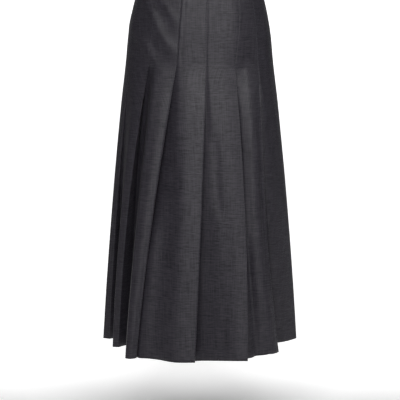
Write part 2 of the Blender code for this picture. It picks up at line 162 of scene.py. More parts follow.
# ---- soft troughs and ridges ---------------------------------------------------------------
# On a panel: at a share of its width from the last fold to its own edge, at two heights.
Soft = namedtuple("Soft", "pleat top_at top bottom_at bottom width lift")
SOFT_FOLDS = (
    Soft("front_centre", 0.16, -0.52, 0.16, -0.90, 0.10, 0.0120),
    Soft("front_centre", 0.46, -0.36, 0.54, -0.90, 0.14, -0.0060),
    Soft("front_right", 0.37, -0.34, 0.37, -0.52, 0.07, 0.0018),
    Soft("front_right", 0.51, -0.36, 0.56, -0.53, 0.07, -0.0045),
    Soft("front_right", 0.18, -0.62, 0.16, -0.90, 0.08, 0.0040),
    Soft("right_front", 0.47, -0.58, 0.48, -0.90, 0.08, -0.0075),
    Soft("right_back", 0.30, -0.45, 0.26, -0.90, 0.12, 0.0070),
    Soft("right_back", 0.62, -0.38, 0.66, -0.90, 0.10, -0.0040),
    Soft("back_right", 0.40, -0.36, 0.44, -0.90, 0.12, -0.0060),
    Soft("back_right", 0.17, -0.55, 0.16, -0.90, 0.09, 0.0060),
    Soft("back_centre_right", 0.34, -0.38, 0.36, -0.64, 0.08, 0.0030),
    Soft("back_centre_right", 0.54, -0.40, 0.58, -0.74, 0.08, -0.0045),
    Soft("back_centre_left", 0.20, -0.52, 0.20, -0.90, 0.10, 0.0080),
    Soft("back_centre_left", 0.58, -0.58, 0.62, -0.90, 0.10, -0.0045),
    Soft("back_left", 0.40, -0.36, 0.42, -0.90, 0.13, -0.0060),
    Soft("back_left", 0.70, -0.46, 0.72, -0.70, 0.07, 0.0030),
    Soft("left_back", 0.30, -0.42, 0.28, -0.90, 0.12, 0.0070),
)

# On the body: a line of (x, z) points in front or behind, its half width and its lift.
Crease = namedtuple("Crease", "side points width lift")
CREASES = (
    Crease("front", ((-0.108, -0.040), (-0.084, -0.073), (-0.068, -0.099), (-0.048, -0.126)),
           0.011, 0.0022),
    Crease("front", ((-0.122, -0.062), (-0.112, -0.090), (-0.102, -0.117), (-0.090, -0.145),
                     (-0.074, -0.170), (-0.054, -0.194)), 0.013, 0.0046),
    Crease("front", ((-0.160, -0.115), (-0.152, -0.137), (-0.136, -0.159), (-0.120, -0.182),
                     (-0.106, -0.205), (-0.091, -0.225)), 0.012, 0.0036),
    Crease("front", ((0.090, -0.020), (0.089, -0.110), (0.087, -0.160), (0.080, -0.230)),
           0.030, 0.0045),
    Crease("front", ((-0.044, -0.020), (-0.048, -0.130), (-0.054, -0.230)), 0.026, 0.0025),
    Crease("front", ((0.1345, -0.270), (0.1390, -0.370), (0.1435, -0.449), (0.1470, -0.530),
                     (0.1520, -0.620), (0.1575, -0.720)), 0.006, -0.0030),
    Crease("back", ((0.112, -0.055), (0.086, -0.082), (0.052, -0.112)), 0.011, 0.0026),
    Crease("back", ((0.134, -0.124), (0.104, -0.156), (0.068, -0.184)), 0.012, 0.0030),
    Crease("back", ((-0.124, -0.080), (-0.092, -0.112), (-0.052, -0.146)), 0.012, 0.0032),
    Crease("back", ((-0.140, -0.146), (-0.118, -0.170), (-0.090, -0.196)), 0.011, 0.0024),
)


# ---- the section ---------------------------------------------------------------------------
def mix(start, end, share):
    """Value or tuple between start and end."""
    if isinstance(start, tuple):
        return tuple(mix(a, b, share) for a, b in zip(start, end))
    return start + (end - start) * share


def smooth(value, low, high):
    """0 below low, 1 above high, smooth between."""
    share = np.clip((value - low) / (high - low), 0.0, 1.0)
    return share * share * (3.0 - 2.0 * share)


SECTION_TABLE = np.array([tuple(section) for section in SECTIONS])[::-1]
SECTION_SLOPES = np.gradient(SECTION_TABLE[:, 1:], SECTION_TABLE[:, 0], axis=0)


def ellipse_at(height):
    """Half width, front depth and back depth at a height, on a smooth line through SECTIONS."""
    heights = SECTION_TABLE[:, 0]
    index = int(np.clip(np.searchsorted(heights, height) - 1, 0, len(heights) - 2))
    span = heights[index + 1] - heights[index]
    t = (height - heights[index]) / span
    values, slopes = SECTION_TABLE[:, 1:], SECTION_SLOPES * span
    found = ((1 + 2 * t) * (1 - t) ** 2 * values[index] + t * (1 - t) ** 2 * slopes[index]
             + t * t * (3 - 2 * t) * values[index + 1] + t * t * (t - 1) * slopes[index + 1])
    return tuple(float(value) for value in found)


def place(ellipse, turn, out):
    """Plan position of a turn and an offset along the ellipse's normal."""
    half_width, front_depth, back_depth = ellipse
    angle = radians(turn)
    depth = front_depth if cos(angle) > 0 else back_depth
    across, along = sin(angle), -cos(angle)
    normal = (across * depth, along * half_width)
    size = hypot(*normal)
    return (half_width * across + out * normal[0] / size,
            depth * along + out * normal[1] / size)


def degrees_for(ellipse, turn, length):
    """How many degrees of turn a length along the ellipse takes near a turn."""
    half_width, front_depth, back_depth = ellipse
    angle = radians(turn)
    depth = front_depth if cos(angle) > 0 else back_depth
    return degrees(length / hypot(half_width * cos(angle), depth * sin(angle)))


def layer_at(height):
    """Spacing of the cloth layers: pressed thin where stitched, looser below."""
    return float(mix(LAYER_STITCHED, LAYER, smooth(RELEASE - height, 0.0, 0.10)))


def fold(pleat, height, ellipse):
    """A pleat's edge, inner fold and ridge as (turn, out), and how open and deep it is."""
    layer = layer_at(height)
    if height >= RELEASE:
        share = height / RELEASE
        edge_turn = mix(pleat.waist, pleat.hip, share)
        closed_under = mix(UNDERLAY_WAIST, UNDERLAY, share)
        opening = depth_share = ridge_share = swell = 0.0
    else:
        share = (RELEASE - height) / (RELEASE - HEM)
        edge_turn = mix(pleat.hip, pleat.hem, share) + pleat.bow * 4 * share * (1 - share)
        closed_under = UNDERLAY
        eased = share * share / (share + SOFT_START) * (1 + SOFT_START)
        opening = eased ** pleat.opens
        depth_share = eased ** pleat.deepens
        ridge_share = share ** pleat.closes
        swell = share / SWELL_AT * exp(1.0 - share / SWELL_AT)
    edge = (edge_turn, mix(layer / 2, pleat.edge_out, opening) + pleat.arch * swell)
    under = mix(closed_under, pleat.under, opening)
    inner = (edge_turn - degrees_for(ellipse, edge_turn, under),
             mix(-layer / 2, -pleat.sink, depth_share) - pleat.dip * swell)
    back = mix(pleat.ridge_hip, pleat.ridge, ridge_share)
    if height >= RELEASE:
        back -= UNDERLAY - closed_under
    ridge = (edge_turn - degrees_for(ellipse, edge_turn, back),
             mix(layer, pleat.ridge_out, opening) + pleat.arch * swell)
    return edge, inner, ridge, opening, depth_share


def zip_panel(ellipse, rise, ridge, top, opening):
    """Controls of the panel with the centre back seam, level where the zip's tape lies."""
    level = degrees_for(ellipse, CENTRE_BACK, TAPE_WIDTH / 2 + SEAM_GAP)
    seam_share = (CENTRE_BACK - rise[0]) / (ridge[0] - rise[0])
    closed = (rise, (CENTRE_BACK - level, 0.0), (CENTRE_BACK, 0.0),
              (CENTRE_BACK + level, 0.0), ridge, mix(ridge, top, 0.60))
    opened = (rise, mix(rise, ridge, seam_share / 2), mix(rise, ridge, seam_share), ridge,
              mix(ridge, top, 0.22), mix(ridge, top, 0.60))
    return mix(closed, opened, opening)


def unit(x, y):
    """A plan direction of length one."""
    size = hypot(x, y)
    return x / size, y / size


def turn_over(vertex, leg_in, leg_out, layer):
    """Ends of the two legs at a fold, a layer apart either side of their bisector."""
    first = unit(leg_in[0] - vertex[0], leg_in[1] - vertex[1])
    second = unit(leg_out[0] - vertex[0], leg_out[1] - vertex[1])
    inward = unit(first[0] + second[0], first[1] + second[1])
    side = (-inward[1], inward[0])
    if side[0] * (first[0] - second[0]) + side[1] * (first[1] - second[1]) < 0.0:
        side = (-side[0], -side[1])
    half = layer / 2
    return ((vertex[0] + side[0] * half, vertex[1] + side[1] * half),
            (vertex[0] - side[0] * half, vertex[1] - side[1] * half))


def round_off(spots, rising, falling, sag=0.0):
    """Plan points of a panel drawn toward a round flute before and behind its ridge."""
    tuck, rise, middle, before, ridge, after, run, edge, lie, inner = spots
    arcs = ((middle, rise, ridge, 0.40, mix(0.686, 0.22, sag), rising),
            (before, rise, ridge, 0.75, mix(0.948, 0.82, sag), rising),
            (after, ridge, edge, 0.35, 0.106, falling), (run, ridge, edge, 0.68, 0.420, falling))
    middle, before, after, run = (
        mix(old, (mix(first[0], last[0], across), mix(first[1], last[1], back)), share)
        for old, first, last, across, back, share in arcs)
    return [tuck, rise, middle, before, ridge, after, run, edge, lie, inner]


def panel_low(pleat):
    """Height of a panel's deep part, as a share from the last inner fold up to its ridge."""
    return 0.5 * (1.0 - 0.7 * pleat.hollow)


def panel_start(pleat, groove, last, ridge, height, ellipse):
    """A panel's controls behind the last pleat's edge and where it comes up past it."""
    last_edge, last_inner, sinking = last
    layer = layer_at(height)
    start = (last_inner[0], last_inner[1] - layer / 2)
    lead = mix(LEAD_FLAT, LEAD_GROOVE, groove)
    by_fold = (last_edge[0] + degrees_for(ellipse, last_edge[0], lead),
               last_edge[1] - layer * mix(SUNK_FLAT, SUNK_GROOVE, groove))
    if pleat.arch > 0.0:
        under = mix(0.65, 0.90, float(smooth(-height, *FLUTE_SAG)))
        floor = (last_edge[0] - degrees_for(ellipse, last_edge[0], FLUTE_BACK),
                 mix(last_edge[1], last_inner[1], under))
    else:
        floor = (mix(start[0], ridge[0], 0.5), mix(start[1], ridge[1], panel_low(pleat)))
    rise = mix(by_fold, floor, sinking)
    by_edge = (last_edge[0] - degrees_for(ellipse, last_edge[0], TUCK_BACK), -layer)
    return mix(by_edge, mix(start, rise, 0.45), sinking), rise


def panel_face(pleat, groove, sinking, rise, ridge, top, opening):
    """A panel's controls from where it comes up to the last one before its own edge."""
    crisp, curve = pleat.crisp * opening, pleat.curve * opening
    lifted = mix(mix(0.10, 0.72, groove), panel_low(pleat), sinking)
    middle = (mix(rise[0], ridge[0], mix(0.10, 0.5, sinking)), mix(rise[1], ridge[1], lifted))
    before = mix(rise, ridge, mix(0.76, 0.97, crisp))
    after = mix(ridge, top, mix(0.36, 0.06, crisp))
    run = mix(ridge, top, 0.64)
    return (rise, middle, before, ridge, (after[0], after[1] + curve * mix(0.92, 0.25, crisp)),
            (run[0], run[1] + curve))


def controls(height):
    """Plan points of every pleat's controls at a height, as an array (pleat, control, 2)."""
    ellipse = ellipse_at(height)
    folds = [fold(pleat, height, ellipse) for pleat in PLEATS]
    layer = layer_at(height)
    half = layer / 2
    spots = []
    for index, pleat in enumerate(PLEATS):
        edge, inner, ridge, opening, _ = folds[index]
        last_edge, last_inner, _, _, sinking = folds[index - 1]
        if index == 0:
            last_edge = (last_edge[0] - 360.0, last_edge[1])
            last_inner = (last_inner[0] - 360.0, last_inner[1])
        top = (edge[0], edge[1] + half)
        lie = mix((edge[0], edge[1] - half), (inner[0], inner[1] + half), 0.5)
        groove = PLEATS[index - 1].seam
        tuck, rise = panel_start(pleat, groove, (last_edge, last_inner, sinking), ridge, height,
                                 ellipse)
        if pleat.name == SEAMED_PLEAT:
            panel = zip_panel(ellipse, rise, ridge, top, opening)
        else:
            panel = panel_face(pleat, groove, sinking, rise, ridge, top, opening)
        spot = [place(ellipse, *turn) for turn in (tuck, *panel, edge, lie, inner)]
        if pleat.arch > 0.0:
            spot = round_off(spot, sinking, sinking, float(smooth(-height, *FLUTE_SAG)))
        elif pleat.name == ROUNDED_PLEAT:
            spot = round_off(spot, sinking, 0.0)
        spots.append(spot)
    found = np.zeros((len(PLEATS), len(KEYS), 2))
    for index in range(len(PLEATS)):
        tuck, rise, middle, before, ridge, after, run, edge, lie, inner = spots[index]
        following = (index + 1) % len(PLEATS)
        top, below = turn_over(edge, run, lie, layer)
        inner_top, start = turn_over(inner, lie, spots[following][0], layer)
        found[index, 1:] = (tuck, rise, middle, before, ridge, after, run, top, below, lie,
                            inner_top)
        found[following, 0] = start
    return found


def row_heights():
    """Heights of the rows, closer together about the release."""
    usual_step, close_step, near, last_step = 0.0056, 0.0034, 0.05, 0.004
    heights = [-BAND_HEIGHT - PANEL_GAP]
    while heights[-1] > HEM + last_step:
        height = heights[-1]
        close = max(1.0 - abs(height - RELEASE) / near, 0.0)
        heights.append(height - mix(usual_step, close_step, close))
    heights[-1] = HEM
    return np.array(heights)


def spline(points, counts):
    """Smooth lines through controls: points is (rows, controls, 2), counts the steps a span."""
    spans = np.sqrt(np.linalg.norm(np.diff(points, axis=1), axis=2)) + 1e-5
    slopes = np.zeros_like(points)
    rate = np.diff(points, axis=1) / spans[..., None]
    two = (points[:, 2:] - points[:, :-2]) / (spans[:, :-1] + spans[:, 1:])[..., None]
    slopes[:, 1:-1] = rate[:, :-1] - two + rate[:, 1:]
    slopes[:, 0] = rate[:, 0]
    slopes[:, -1] = rate[:, -1]
    lines = []
    for index, count in enumerate(counts):
        t = (np.arange(count) / count)[None, :, None]
        span = spans[:, index, None, None]
        a, b = points[:, index, None], points[:, index + 1, None]
        m, n = slopes[:, index, None] * span, slopes[:, index + 1, None] * span
        lines.append((2 * t ** 3 - 3 * t ** 2 + 1) * a + (t ** 3 - 2 * t ** 2 + t) * m
                     + (3 * t ** 2 - 2 * t ** 3) * b + (t ** 3 - t ** 2) * n)
    lines.append(points[:, -1:])
    return np.concatenate(lines, axis=1)


def arc(first, last, toward_point, count):
    """Half circles between two rows of points, bulging away from a third one."""
    middle = (first + last) / 2
    radius = np.linalg.norm(last - first, axis=1)[:, None] / 2
    outward = middle - toward_point
    outward /= np.linalg.norm(outward, axis=1)[:, None]
    side = (first - middle) / radius
    angles = [pi * step / count for step in range(count)]
    return np.stack([middle + radius * (side * cos(a) + outward * sin(a)) for a in angles], 1)


def whole_ring(heights):
    """Points (rows, columns, 2) of every section, each column's pleat and the panel shares.

    A share is the way along a panel from the last fold to its own edge, and -1 off it.
    """
    nodes = np.stack([controls(height) for height in heights])
    top = KEYS.index("top")
    lines, owners, shares = [], [], []
    for index in range(len(PLEATS)):
        following = (index + 1) % len(PLEATS)
        points = nodes[:, index]
        panel = spline(points[:, :top + 1], COUNTS[:top])
        nose = arc(points[:, top], points[:, top + 1], points[:, top + 2], COUNTS[top])
        layer = spline(points[:, top + 1:top + 4], COUNTS[top + 1:top + 3])
        turn = arc(points[:, top + 3], nodes[:, following, 0], points[:, top + 2],
                   COUNTS[top + 3])
        lines += [panel[:, :-1], nose, layer[:, :-1], turn]
        passed = np.cumsum(np.linalg.norm(np.diff(panel, axis=1), axis=2), axis=1)
        share = np.full((len(heights), PLEAT_STEPS), -1.0)
        share[:, 0] = 0.0
        share[:, 1:panel.shape[1] - 1] = passed[:, :-1] / passed[:, -1:]
        shares.append(share)
        owners += [index] * PLEAT_STEPS
    return np.concatenate(lines, axis=1), owners, np.concatenate(shares, axis=1)


def step_of(key):
    """Column of a control in its own pleat."""
    return sum(COUNTS[:KEYS.index(key)])


def column_of(pleat_name, key):
    """Column of a control in the whole ring."""
    return NAMES.index(pleat_name) * PLEAT_STEPS + step_of(key)


# ---- lift of the soft folds -----------------------------------------------------------------
def line_distance(x, z, points):
    """Distance of points (x, z) to a broken line, and their share along it."""
    points = np.array(points)
    lengths = np.linalg.norm(np.diff(points, axis=0), axis=1)
    passed = np.concatenate([[0.0], np.cumsum(lengths)])
    best = np.full(x.shape, 1e9)
    share = np.zeros(x.shape)
    for index, length in enumerate(lengths):
        a, b = points[index], points[index + 1]
        along = ((x - a[0]) * (b[0] - a[0]) + (z - a[1]) * (b[1] - a[1])) / length ** 2
        along = np.clip(along, 0.0, 1.0)
        away = np.hypot(x - a[0] - along * (b[0] - a[0]), z - a[1] - along * (b[1] - a[1]))
        near = away < best
        best = np.where(near, away, best)
        share = np.where(near, (passed[index] + along * length) / passed[-1], share)
    return best, share


def body_lift(x, y, z):
    """Lift of the creases that run over the body, whatever layer lies there."""
    lift = np.zeros(x.shape)
    for crease in CREASES:
        away, share = line_distance(x, z, crease.points)
        there = y < 0 if crease.side == "front" else y > 0
        fade = np.sin(pi * np.clip(share, 0.02, 0.98)) ** 0.45
        lift += np.where(there, crease.lift * fade * np.exp(-(away / crease.width) ** 2), 0.0)
    return lift


def panel_lift(pleat, share, heights):
    """Lift of one column's soft folds at every height, share being its way over the panel."""
    lift = np.zeros(len(heights))
    for soft in SOFT_FOLDS:
        if soft.pleat != pleat:
            continue
        down = (soft.top - heights) / (soft.top - soft.bottom)
        centre = soft.top_at + (soft.bottom_at - soft.top_at) * down
        fade = smooth(down, 0.0, 0.35) * smooth(-down, -1.30, -1.0)
        window = smooth(share, 0.0, 0.10) * smooth(-share, -1.0, -0.92)
        lift += soft.lift * fade * window * np.exp(-((share - centre) / soft.width) ** 2)
    return lift


def hem_drop(points, heights):
    """How far deep parts hang lower than their pleat's edge near the hem (rows, columns)."""
    top, last = step_of("top"), step_of("below")
    steps = np.arange(PLEAT_STEPS)
    after = np.clip((steps - last) / (PLEAT_STEPS - last), 0.0, 1.0)
    before = np.clip(1.0 - steps / step_of("ridge"), 0.0, 1.0)
    near = HEM_LEAN * smooth(-heights, HEM_LEAN_FROM, -HEM)[:, None]
    found = []
    for index in range(len(PLEATS)):
        own = points[:, index * PLEAT_STEPS:(index + 1) * PLEAT_STEPS, 1]
        drop = 0.0
        for other, weight in ((index, 1 - after), ((index + 1) % len(PLEATS), after),
                              ((index - 1) % len(PLEATS), before)):
            behind = own - points[:, other * PLEAT_STEPS + top, 1][:, None]
            drop = drop + PLEATS[other].level * np.maximum(behind, 0.0) * weight
        found.append(near * drop)
    return np.concatenate(found, axis=1)


def outward_of(points):
    """Plan direction away from the skirt's middle line, for each point."""
    scaled = points * np.array([0.55, 1.0])
    return scaled / np.linalg.norm(scaled, axis=-1)[..., None]


# ---- cloth pieces ---------------------------------------------------------------------------
def grid_mesh(name, grid, uv):
    """A mesh from a grid of points (rows, columns, 3) with its cloth coordinates."""
    rows, columns = grid.shape[:2]
    corner = np.arange(rows * columns).reshape(rows, columns)
    faces = np.stack([corner[:-1, :-1], corner[1:, :-1], corner[1:, 1:], corner[:-1, 1:]], -1)
    faces = faces.reshape(-1, 4)
    mesh = bpy.data.meshes.new(name)
    mesh.from_pydata(grid.reshape(-1, 3).tolist(), [], faces.tolist())
    layer = mesh.uv_layers.new(name="cloth")
    layer.uv.foreach_set("vector", uv.reshape(-1, 2)[faces.ravel()].astype(np.float32).ravel())
    mesh.shade_smooth()
    return mesh


def cloth_uv(grid):
    """Cloth coordinates in metres: along the section, and down the cloth."""
    across = np.linalg.norm(np.diff(grid, axis=1), axis=2)
    down = np.linalg.norm(np.diff(grid, axis=0), axis=2)
    u = np.zeros(grid.shape[:2])
    v = np.zeros(grid.shape[:2])
    u[:, 1:] = np.cumsum(across, axis=1)
    u -= u[:, -1:] / 2
    v[1:, :] = np.cumsum(np.repeat(down.mean(axis=1)[:, None], grid.shape[1], 1), axis=0)
    return np.stack([u, -v], -1)


def add_piece(name, mesh, material, node, body="skirt"):
    """An object for a mesh that rides on a body and may stand for a CAD node."""
    item = bpy.data.objects.new(name, mesh)
    bpy.context.scene.collection.objects.link(item)
    if not mesh.materials:
        mesh.materials.append(material)
    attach(item, body)
    if node:
        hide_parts(node)
    return item


def thicken(item, thickness):
    """Give a sheet its wall."""
    wall = item.modifiers.new("wall", "SOLIDIFY")
    wall.thickness = thickness
    wall.offset = 0.0
    wall.use_quality_normals = True


def make_cloths(material):
    """Front and the two back halves."""
    heights = row_heights()
    points, owners, shares = whole_ring(heights)
    lifts = np.stack([panel_lift(NAMES[owner], shares[:, column], heights)
                      for column, owner in enumerate(owners)], 1)
    z = np.repeat(heights[:, None], points.shape[1], 1)
    lifts += body_lift(points[..., 0], points[..., 1], z)
    z = z - hem_drop(points, heights)
    points = points + outward_of(points) * lifts[..., None]
    ring = np.concatenate([points, z[..., None]], -1)
    pieces = []
    for cloth in CLOTHS:
        first = column_of(cloth.first_pleat, cloth.first_key)
        last = column_of(cloth.last_pleat, cloth.last_key)
        columns = np.arange(first, last + 1 if last > first else last + ring.shape[1] + 1)
        grid = ring[:, columns % ring.shape[1]].copy()
        for end, inner in ((0, 1), (-1, -2)):
            way = grid[:, inner] - grid[:, end]
            grid[:, end] += way / np.linalg.norm(way, axis=1)[:, None] * SEAM_GAP / 2
        item = add_piece(cloth.piece, grid_mesh(cloth.piece, grid, cloth_uv(grid)), material,
                         cloth.node)
        thicken(item, WALL)
        pieces.append((item, cloth))
    return pieces


def make_band(material):
    """The waistband, folded over at its top edge."""
    rows, fold_rows, fold_rise = 12, 6, 0.0010
    foot, face = -BAND_HEIGHT + 0.0002, BAND_HEIGHT - 0.0014
    heights = [foot + face * step / rows for step in range(rows + 1)]
    half = BAND_WALL / 2 - BAND_INSET
    profile = [(half, height) for height in heights]
    for step in range(1, fold_rows):
        angle = pi * step / fold_rows
        profile.append((half * cos(angle), heights[-1] + fold_rise * sin(angle)))
    profile += [(-half, height) for height in reversed(heights)]
    centre = (BAND_WALL - SOLID_WALL) / 2
    grid = np.zeros((len(profile), BAND_STEPS + 1, 3))
    for row, (out, height) in enumerate(profile):
        ellipse = ellipse_at(height)
        gap = degrees_for(ellipse, 180.0, SEAM_GAP / 2)
        for step in range(BAND_STEPS + 1):
            turn = mix(-180.0 + gap, 180.0 - gap, step / BAND_STEPS)
            ripple = BAND_RIPPLE * sin(radians(turn) * 7.0) * sin(radians(turn) * 3.0 + 1.0)
            grid[row, step] = (*place(ellipse, turn, centre + out + ripple), height)
    mesh = grid_mesh("band_cloth", grid[::-1], cloth_uv(grid[::-1]))
    item = add_piece("band_cloth", mesh, material, "waistband")
    thicken(item, BAND_CLOTH)
    return item


def make_tape(material):
    """The zip's tape, behind the centre back seam."""
    rows = []
    out = -(SOLID_WALL / 2 + SEAM_GAP + TAPE_WALL / 2)
    for height in np.linspace(TAPE_TOP, TAPE_TOP - TAPE_LENGTH, 60):
        ellipse = ellipse_at(height)
        half_turn = degrees_for(ellipse, 180.0, TAPE_WIDTH / 2)
        rows.append([(*place(ellipse, 180.0 + half_turn * share, out), height)
                     for share in np.linspace(-1.0, 1.0, 13)])
    grid = np.array(rows)
    item = add_piece("tape_cloth", grid_mesh("tape_cloth", grid, cloth_uv(grid)), material,
                     "zip_tape")
    thicken(item, WALL)
    return item


# ---- sewing and zip coil --------------------------------------------------------------------
def tube(name, centres, radii):
    """A tube round a line of points, with a radius at each of them."""
    centres = np.array(centres)
    ways = np.gradient(centres, axis=0)
    ways /= np.linalg.norm(ways, axis=1)[:, None]
    level = abs(ways[:, 2]).mean() < 0.7
    side = np.cross(ways, (0.0, 0.0, 1.0) if level else (1.0, 0.0, 0.0))
    side /= np.linalg.norm(side, axis=1)[:, None]
    other = np.cross(side, ways)
    angles = np.linspace(0.0, 2 * pi, 6)[None, :, None]
    ring = side[:, None] * np.cos(angles) + other[:, None] * np.sin(angles)
    grid = centres[:, None] + ring * np.array(radii)[:, None, None]
    return grid_mesh(name, grid, cloth_uv(grid))


def stitches(name, spot_at, length, inward, material):
    """A row of stitches; spot_at gives a point for the length sewn and a depth in the cloth."""
    per_stitch = 6
    steps = int(length / STITCH) * per_stitch
    centres, radii = [], []
    for step in range(steps + 1):
        height = abs(sin(pi * step / per_stitch)) ** 0.6
        centres.append(spot_at(length * step / steps, inward * (1.0 - height)))
        radii.append(mix(0.00008, 0.00024, height))
    add_piece(name, tube(name, centres, radii), material, None)


def make_sewing(material):
    """Stitches in the waistband's seam and along both sides of the zip's tape."""
    height, end, thread_out = -BAND_HEIGHT - 0.0002, 179.4, 0.0017
    ellipse = ellipse_at(height)
    table = [(0.0, -end)]
    for turn in np.linspace(-end, end, 720)[1:]:
        passed = (turn - table[-1][1]) / degrees_for(ellipse, turn, 1.0)
        table.append((table[-1][0] + passed, turn))
    lengths, turns = np.array(table).T

    def on_band(length, depth):
        turn = float(np.interp(length, lengths, turns))
        return (*place(ellipse, turn, thread_out - depth), height)

    stitches("band_stitches", on_band, lengths[-1], 0.0008, material)
    first, sewn, from_middle, tape_out = -0.006, 0.190, TAPE_WIDTH * 0.40, -0.0021
    for name, side in (("tape_stitches_left", -1.0), ("tape_stitches_right", 1.0)):
        def on_tape(length, depth, side=side):
            spot = first - length
            oval = ellipse_at(spot)
            turn = 180.0 + side * degrees_for(oval, 180.0, from_middle)
            return (*place(oval, turn, tape_out + depth), spot)

        stitches(name, on_tape, sewn, 0.0006, material)


def make_coil(material):
    """The zip's coil of teeth on the inner side of its tape, closed up to the slider."""
    pitch, rounds, steps, first = 0.0014, 131, 12, -0.014
    half_width, half_depth, centre_out, radius = 0.0017, 0.0007, -0.0030, 0.00027
    centres = []
    for step in range(rounds * steps + 1):
        angle = 2 * pi * step / steps
        height = first - pitch * step / steps
        ellipse = ellipse_at(height)
        turn = 180.0 + degrees_for(ellipse, 180.0, half_width * cos(angle))
        centres.append((*place(ellipse, turn, centre_out + half_depth * sin(angle)), height))
    mesh = tube("zip_coil", centres, [radius] * len(centres))
    add_piece("zip_coil", mesh, material, None)


# ---- materials ------------------------------------------------------------------------------
class Nodes:
    """Short calls that build a material's node tree."""

    def __init__(self, name):
        self.material = bpy.data.materials.new(name)
        self.material.use_nodes = True
        self.tree = self.material.node_tree
        self.shader = self.tree.nodes["Principled BSDF"]

    def add(self, kind, settings=None, **inputs):
        """A node with its settings and inputs; a tuple (node, output) is a link."""
        node = self.tree.nodes.new(kind)
        for key, value in (settings or {}).items():
            setattr(node, key, value)
        for key, value in inputs.items():
            self.put(node, key.replace("_", " "), value)
        return node

    def put(self, node, key, value):
        """Set or link one input."""
        socket = node.inputs[int(key) if key.isdigit() else key]
        if isinstance(value, bpy.types.NodeSocket):
            self.tree.links.new(value, socket)
        else:
            socket.default_value = value

    def math(self, operation, *values, clamp=False):
        """A math node's result."""
        node = self.add("ShaderNodeMath", {"operation": operation, "use_clamp": clamp})
        for index, value in enumerate(values):
            self.put(node, str(index), value)
        return node.outputs[0]

    def spread(self, value, middle, share, clamp=False):
        """How far a value lies from its middle, times a share."""
        return self.math("MULTIPLY", self.math("SUBTRACT", value, middle), share, clamp=clamp)

    def shade(self, **inputs):
        """Set or link inputs of the material's shader."""
        for key, value in inputs.items():
            self.put(self.shader, key.replace("_", " "), value)

    def tint(self, tone, dark, light):
        """Base colour from dark at tone 0 to light at 1."""
        ramp = self.add("ShaderNodeMix", {"data_type": "RGBA"})
        self.put(ramp, "0", tone)
        self.put(ramp, "6", dark)
        self.put(ramp, "7", light)
        self.shade(Base_Color=ramp.outputs[2])

    def noise(self, coordinates, scale, detail=2.0, rough=0.5):
        """Noise about 0.5; the scale is one over the size of its spots in each direction."""
        mapping = self.add("ShaderNodeMapping", Vector=coordinates, Scale=scale)
        node = self.add("ShaderNodeTexNoise", {"noise_dimensions": "3D"},
                        Vector=mapping.outputs[0], Scale=1.0, Detail=detail, Roughness=rough)
        return node.outputs["Fac"]

    def waves(self, coordinates, direction, period):
        """Fine ribs across one direction."""
        node = self.add("ShaderNodeTexWave", {"wave_type": "BANDS", "bands_direction": direction,
                                              "wave_profile": "SIN"},
                        Vector=coordinates, Scale=0.314 / period)
        return node.outputs["Fac"]


def wool(name, dark, light, weave=0.00075):
    """Charcoal wool with uneven yarns that run across the cloth, a weave apart."""
    n = Nodes(name)
    uv = n.add("ShaderNodeUVMap", {"uv_map": "cloth"}).outputs[0]
    long_slub = n.noise(uv, (1 / 0.040, 1 / 0.0032, 1.0), 3.0, 0.55)
    short_slub = n.noise(uv, (1 / 0.014, 1 / 0.0016, 1.0), 2.0, 0.6)
    warp = n.noise(uv, (1 / 0.0018, 1 / 0.060, 1.0), 2.0, 0.5)
    mottle = n.noise(uv, (1 / 0.030, 1 / 0.030, 1.0), 3.0, 0.6)
    ribs = n.math("MULTIPLY", n.waves(uv, "Y", weave), n.waves(uv, "X", weave))
    tone = n.math("ADD", n.spread(long_slub, 0.5, 1.4), 0.5)
    for value, share in ((short_slub, 1.6), (warp, 1.2), (mottle, 0.35)):
        tone = n.math("ADD", tone, n.spread(value, 0.5, share))
    tone = n.math("ADD", tone, n.spread(ribs, 0.25, 0.25), clamp=True)
    n.tint(tone, dark, light)
    height = n.math("ADD", n.math("MULTIPLY", ribs, 0.35), n.math("MULTIPLY", long_slub, 0.55))
    height = n.math("ADD", height, n.math("MULTIPLY", short_slub, 0.45))
    bump = n.add("ShaderNodeBump", Strength=0.48, Distance=0.00045, Height=height)
    n.shade(Normal=bump.outputs[0], Roughness=0.38,
            Specular_IOR_Level=n.math("MULTIPLY_ADD", tone, 0.10, 0.145),
            Sheen_Weight=0.02, Sheen_Roughness=0.45, Sheen_Tint=(0.75, 0.73, 0.80, 1.0))
    return n.material


def zip_metal(name):
    """Dark painted metal with worn, uneven gloss."""
    n = Nodes(name)
    place_in = n.add("ShaderNodeTexCoord").outputs["Object"]
    wear = n.noise(place_in, (900.0, 900.0, 900.0), 4.0, 0.6)
    n.tint(wear, (0.020, 0.020, 0.024, 1.0), (0.050, 0.049, 0.055, 1.0))
    n.shade(Roughness=n.math("MULTIPLY_ADD", wear, 0.25, 0.22), Metallic=0.7)
    return n.material


def thread(name, dark, light, roughness):
    """Sewing thread or nylon coil, with small changes of tone along it."""
    n = Nodes(name)
    uv = n.add("ShaderNodeUVMap", {"uv_map": "cloth"}).outputs[0]
    n.tint(n.noise(uv, (1 / 0.0006, 1 / 0.0040, 1.0), 2.0, 0.5), dark, light)
    n.shade(Roughness=roughness, Specular_IOR_Level=0.30)
    return n.material


